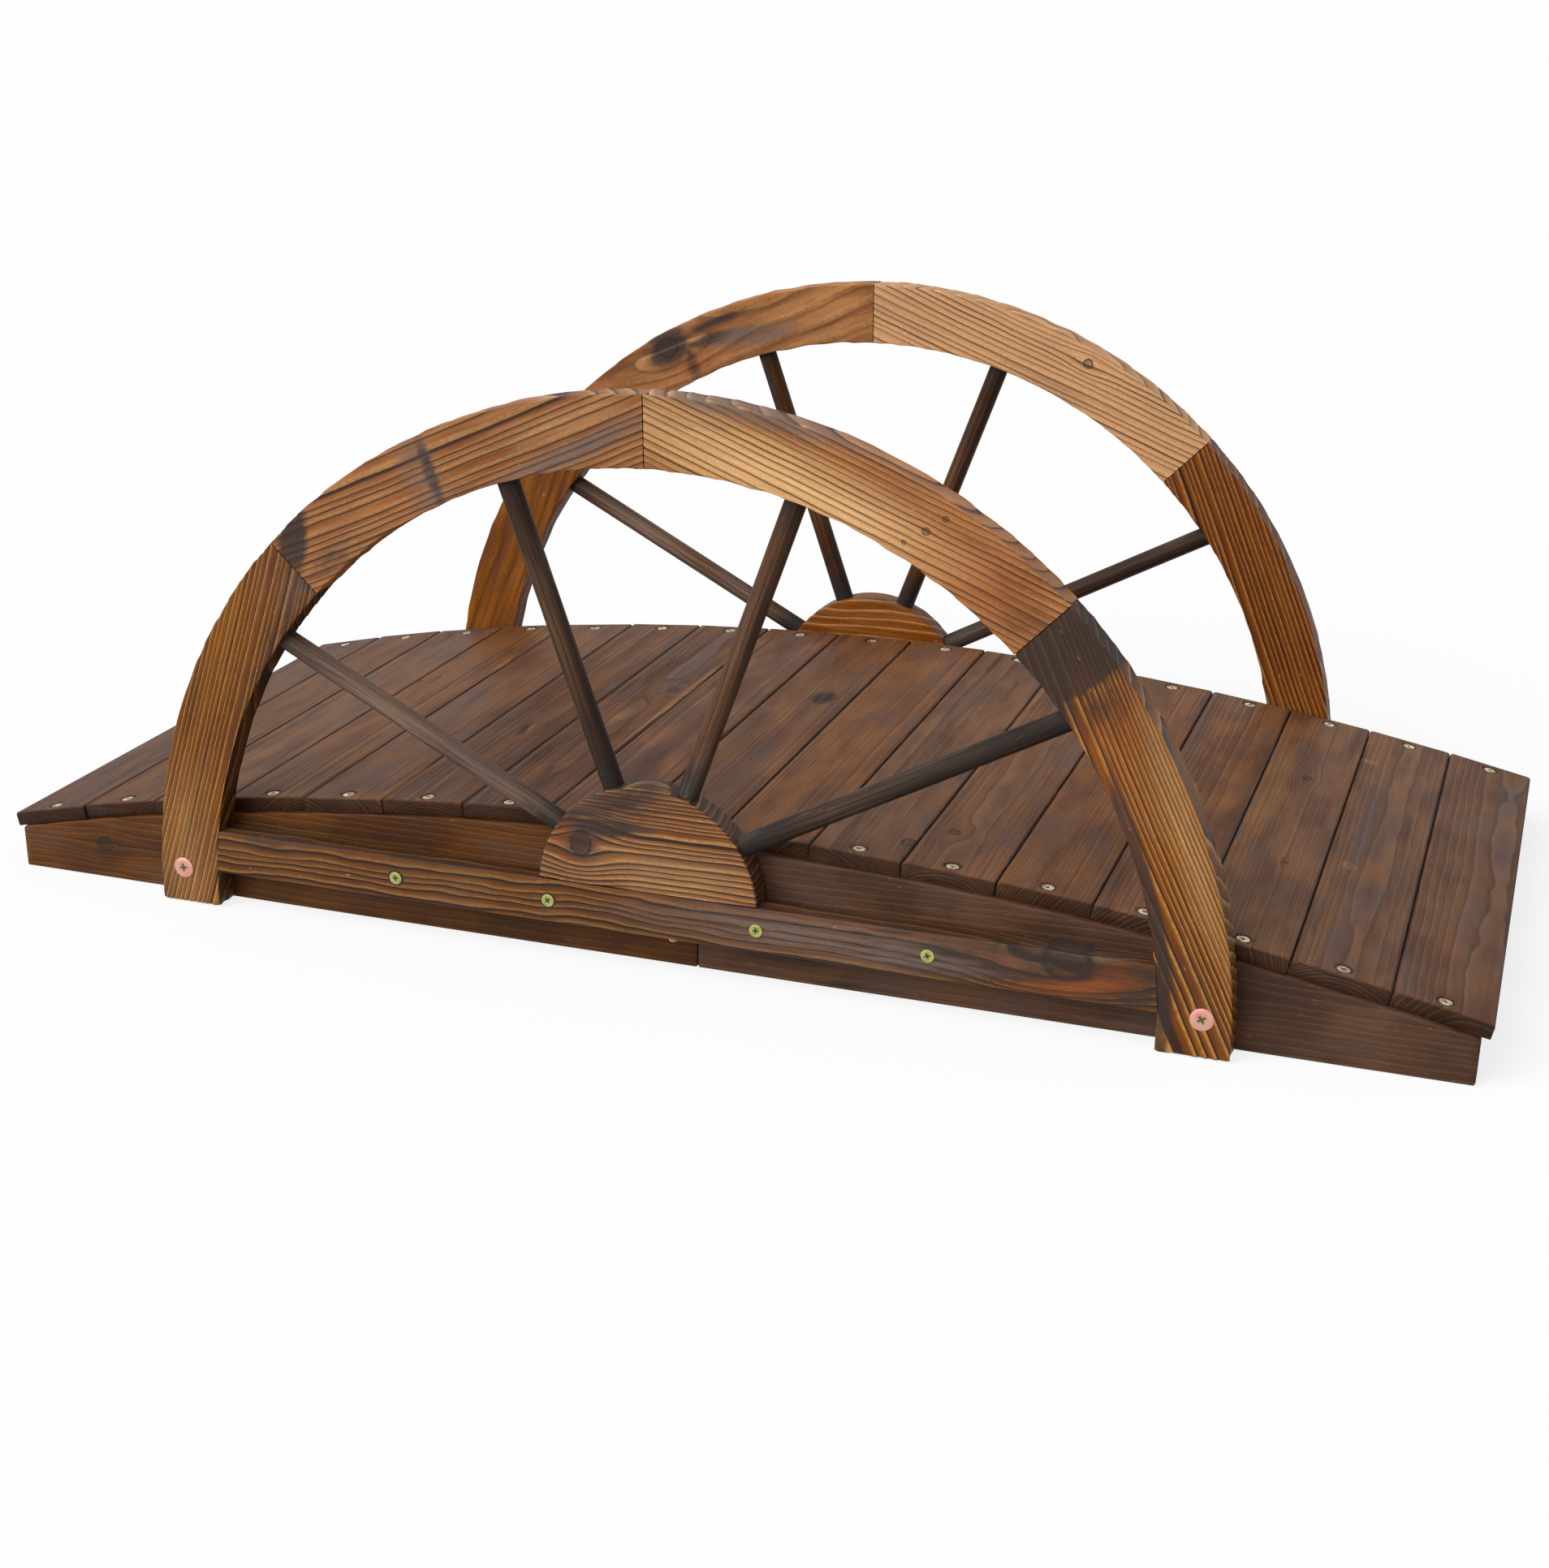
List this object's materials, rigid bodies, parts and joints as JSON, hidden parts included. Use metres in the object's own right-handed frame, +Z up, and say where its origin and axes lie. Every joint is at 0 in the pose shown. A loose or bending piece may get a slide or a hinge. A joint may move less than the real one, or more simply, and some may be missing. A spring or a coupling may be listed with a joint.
{
  "type": "garden footbridge with half-wheel railings",
  "caption": "Low arched wooden garden footbridge: flat boards across arch-topped stringers, with a half wagon wheel on each side as a railing; for walking over a ditch or dry stream.",
  "frame": {"origin": "on the ground under the middle of the bridge", "axes": "+X along the bridge from left to right, +Y across it away from the viewer, +Z up"},
  "size_m": [1.498, 0.74, 0.555],
  "materials": {
    "deck_wood": "dark brown stained fir boards, matt",
    "stringer_wood": "mid brown stained fir, matt",
    "wheel_wood": "charred and brushed fir, amber with dark grain",
    "spoke_wood": "dark grey-brown stained round bar",
    "deck_screw": "zinc plated countersunk screw heads",
    "rail_screw": "yellow zinc plated countersunk screw heads",
    "foot_screw": "pinkish zinc plated washer-head screws"
  },
  "bodies": {
    "root": {"deck_board_01": "deck_wood", "deck_board_02": "deck_wood", "deck_board_03": "deck_wood", "deck_board_04": "deck_wood", "deck_board_05": "deck_wood", "deck_board_06": "deck_wood", "deck_board_07": "deck_wood", "deck_board_08": "deck_wood", "deck_board_09": "deck_wood", "deck_board_10": "deck_wood", "deck_board_11": "deck_wood", "deck_board_12": "deck_wood", "deck_board_13": "deck_wood", "deck_board_14": "deck_wood", "deck_board_15": "deck_wood", "deck_board_16": "deck_wood", "deck_board_17": "deck_wood", "near_stringer_left": "stringer_wood", "near_stringer_right": "stringer_wood", "near_splice_block": "stringer_wood", "near_rim_right_lower": "wheel_wood", "near_rim_right_upper": "wheel_wood", "near_rim_left_upper": "wheel_wood", "near_rim_left_lower": "wheel_wood", "near_spoke_1": "spoke_wood", "near_spoke_2": "spoke_wood", "near_spoke_3": "spoke_wood", "near_spoke_4": "spoke_wood", "near_hub": "wheel_wood", "near_base_rail": "wheel_wood", "far_stringer_left": "stringer_wood", "far_stringer_right": "stringer_wood", "far_splice_block": "stringer_wood", "far_rim_right_lower": "wheel_wood", "far_rim_right_upper": "wheel_wood", "far_rim_left_upper": "wheel_wood", "far_rim_left_lower": "wheel_wood", "far_spoke_1": "spoke_wood", "far_spoke_2": "spoke_wood", "far_spoke_3": "spoke_wood", "far_spoke_4": "spoke_wood", "far_hub": "wheel_wood", "far_base_rail": "wheel_wood"}
  },
  "joints": []
}
